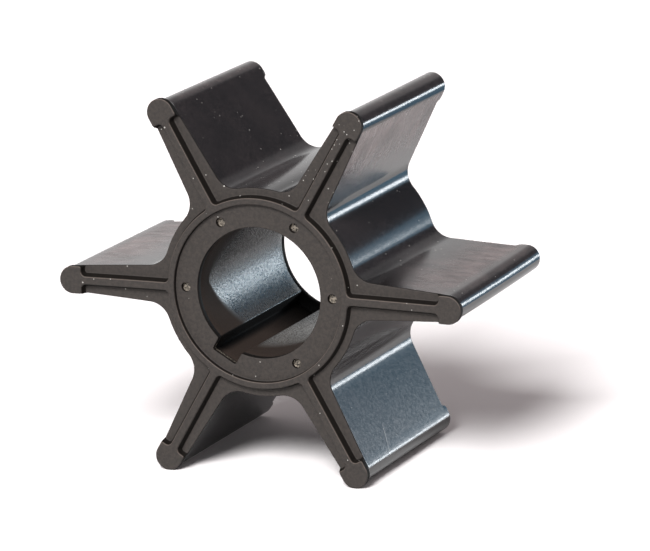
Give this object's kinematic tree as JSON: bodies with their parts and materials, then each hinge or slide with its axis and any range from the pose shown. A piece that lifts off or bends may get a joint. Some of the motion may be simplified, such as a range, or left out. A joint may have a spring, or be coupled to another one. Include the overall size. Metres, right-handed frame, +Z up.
{
  "type": "rubber pump impeller",
  "caption": "Moulded rubber impeller for a flexible-vane water pump, with straight capped blades, ribbed end faces and a keyed bush in its hub.",
  "frame": {"origin": "on the bore's axis, at the middle of the impeller's length", "axes": "+Y along the bore, from the front face, where the keyway opens, to the rear face; +Z up, midway between two blades; +X to the right, along a blade"},
  "size_m": [0.066, 0.0338, 0.0578],
  "materials": {
    "rubber": "smooth moulded flanks with a soft gloss, matte fine-grained end faces",
    "bush": "dark glass-filled plastic, satin in the bore with fine pitting"
  },
  "bodies": {
    "root": {"rubber_body": "rubber", "hub_insert": "bush"}
  },
  "joints": []
}
